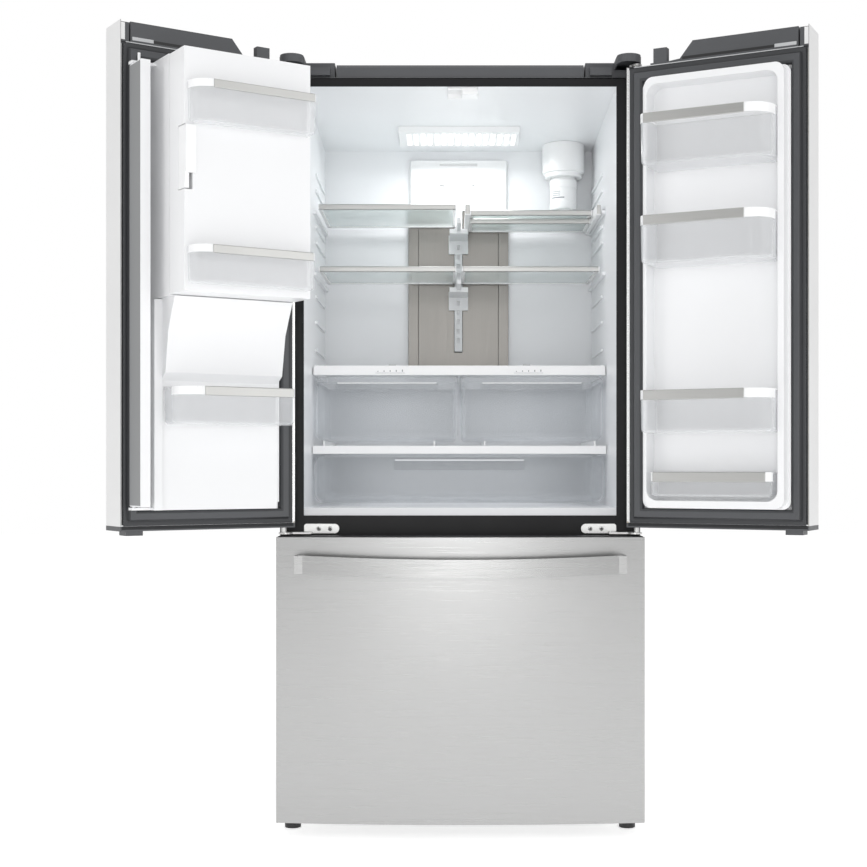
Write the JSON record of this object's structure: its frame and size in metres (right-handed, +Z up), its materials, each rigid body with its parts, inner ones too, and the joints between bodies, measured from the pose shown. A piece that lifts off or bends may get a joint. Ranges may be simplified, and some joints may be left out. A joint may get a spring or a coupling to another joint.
{
  "type": "french door refrigerator",
  "caption": "French door refrigerator, doors open: shelves, crispers, pantry drawer, in-door ice compartment, door bins and a bottom freezer drawer, with steel skins on hinged doors.",
  "frame": {"origin": "the floor point under the middle of the cabinet's front face, midway between its sides", "axes": "+X to the right as seen by a person facing the doors, +Y to the rear, +Z up"},
  "size_m": [1.5538, 1.1731, 1.79],
  "materials": {
    "case_paint": "satin",
    "frame_black": "satin",
    "foam": "matte",
    "liner_white": "satin",
    "cover_dark": "textured",
    "zinc_steel": "zinc plated",
    "stainless": "brushed",
    "clear_plastic": "clear",
    "glass": "clear",
    "white_trim": "satin",
    "gasket_rubber": "matte",
    "cooling_steel": "brushed",
    "lamp_lens": "frosted",
    "black_paint": "satin",
    "grey_plastic": "satin",
    "black_plastic": "satin",
    "aluminium_fins": "bare"
  },
  "bodies": {
    "cabinet": {"cabinet_shell": "case_paint", "front_frame": "frame_black", "foam_insulation": "foam", "fridge_liner": "liner_white", "freezer_liner": "liner_white", "top_cover": "cover_dark", "machine_cover": "grey_plastic", "hinge_brackets": "zinc_steel", "evaporator_coil": "aluminium_fins", "compressor": "black_paint", "fan_shroud": "black_plastic", "air_duct_cover": "liner_white", "cooling_panel": "cooling_steel", "shelf_track": "white_trim", "ceiling_lamp_lens": "lamp_lens", "mullion_guide": "white_trim", "filter_head": "white_trim", "glass_shelves": "glass", "crisper_cover": "white_trim", "pantry_cover": "white_trim", "freezer_rails": "zinc_steel", "levelling_feet": "black_plastic", "base_frame": "zinc_steel"},
    "rear_rollers": {"rear_rollers": "black_plastic"},
    "condenser_fan": {"condenser_fan": "black_plastic"},
    "tuck_shelf": {"tuck_shelf_front": "glass"},
    "water_filter": {"water_filter": "white_trim"},
    "crisper_left": {"crisper_left": "clear_plastic"},
    "crisper_right": {"crisper_right": "clear_plastic"},
    "pantry_drawer": {"pantry_drawer": "clear_plastic"},
    "humidity_slider_left": {"humidity_slider_left": "white_trim"},
    "humidity_slider_right": {"humidity_slider_right": "white_trim"},
    "left_door": {"left_door_skin": "stainless", "left_door_caps": "cover_dark", "left_door_core": "foam", "left_door_liner": "liner_white", "left_door_gasket": "gasket_rubber", "left_door_handle": "stainless", "ice_housing": "liner_white", "ice_maker_bin": "white_trim", "left_door_bin": "clear_plastic", "dispenser": "black_plastic"},
    "flipper_mullion": {"flipper_mullion": "liner_white"},
    "ice_door": {"ice_door": "liner_white", "ice_door_bins": "clear_plastic"},
    "ice_door_latch": {"ice_door_latch": "white_trim"},
    "dispenser_paddle": {"dispenser_paddle": "grey_plastic"},
    "right_door": {"right_door_skin": "stainless", "right_door_caps": "cover_dark", "right_door_core": "foam", "right_door_liner": "liner_white", "right_door_gasket": "gasket_rubber", "right_door_handle": "stainless", "right_door_bins": "clear_plastic"},
    "freezer_drawer": {"freezer_front": "stainless", "freezer_front_liner": "liner_white", "freezer_gasket": "gasket_rubber", "freezer_handle": "stainless", "freezer_basket": "liner_white"},
    "freezer_tray": {"freezer_tray": "liner_white"}
  },
  "joints": [
    {"name": "left_door_hinge", "type": "hinge", "parent": "cabinet", "child": "left_door", "pos_m": [-0.402, -0.044, 1.2], "axis": [0, 0, -1], "range_deg": [-147, 0]},
    {"name": "right_door_hinge", "type": "hinge", "parent": "cabinet", "child": "right_door", "pos_m": [0.402, -0.044, 1.2], "axis": [0, 0, 1], "range_deg": [-153, 0]},
    {"name": "flipper_hinge", "type": "hinge", "parent": "left_door", "child": "flipper_mullion", "pos_m": [-0.69116, -0.29736, 1.2], "axis": [0, 0, 1], "range_deg": [-90, 0]},
    {"name": "ice_door_hinge", "type": "hinge", "parent": "left_door", "child": "ice_door", "pos_m": [-0.3676, -0.18144, 1.45], "axis": [0, 0, 1], "range_deg": [0, 90]},
    {"name": "ice_latch_slide", "type": "slide", "parent": "ice_door", "child": "ice_door_latch", "axis": [0.8387, 0.5446, 0], "range_m": [0, 0.006], "stiffness_N_per_m": 400, "springref_m": -0.003},
    {"name": "paddle_hinge", "type": "hinge", "parent": "left_door", "child": "dispenser_paddle", "pos_m": [-0.55594, -0.15947, 1.17], "axis": [0.8387, 0.5446, 0], "range_deg": [0, 12], "stiffness_Nm_per_rad": 0.6, "springref_deg": -5.73},
    {"name": "freezer_slide", "type": "slide", "parent": "cabinet", "child": "freezer_drawer", "axis": [0, -1, 0], "range_m": [0, 0.45]},
    {"name": "freezer_tray_slide", "type": "slide", "parent": "freezer_drawer", "child": "freezer_tray", "axis": [0, 1, 0], "range_m": [0, 0.2]},
    {"name": "crisper_left_slide", "type": "slide", "parent": "cabinet", "child": "crisper_left", "axis": [0, -1, 0], "range_m": [0, 0.28]},
    {"name": "crisper_right_slide", "type": "slide", "parent": "cabinet", "child": "crisper_right", "axis": [0, -1, 0], "range_m": [0, 0.28]},
    {"name": "pantry_slide", "type": "slide", "parent": "cabinet", "child": "pantry_drawer", "axis": [0, -1, 0], "range_m": [0, 0.28]},
    {"name": "humidity_left_slide", "type": "slide", "parent": "cabinet", "child": "humidity_slider_left", "axis": [1, 0, 0], "range_m": [-0.02, 0.02]},
    {"name": "humidity_right_slide", "type": "slide", "parent": "cabinet", "child": "humidity_slider_right", "axis": [1, 0, 0], "range_m": [-0.02, 0.02]},
    {"name": "tuck_shelf_slide", "type": "slide", "parent": "cabinet", "child": "tuck_shelf", "axis": [0, -1, 0], "range_m": [0, 0.1]},
    {"name": "filter_twist", "type": "hinge", "parent": "cabinet", "child": "water_filter", "pos_m": [0.28, 0.541, 1.58], "axis": [0, 0, 1], "range_deg": [0, 90]},
    {"name": "condenser_fan_spin", "type": "hinge", "parent": "cabinet", "child": "condenser_fan", "pos_m": [-0.02, 0.655, 0.155], "axis": [1, 0, 0], "continuous": true},
    {"name": "rear_roller_spin", "type": "hinge", "parent": "cabinet", "child": "rear_rollers", "pos_m": [0, 0.69, 0.02], "axis": [1, 0, 0], "continuous": true}
  ]
}
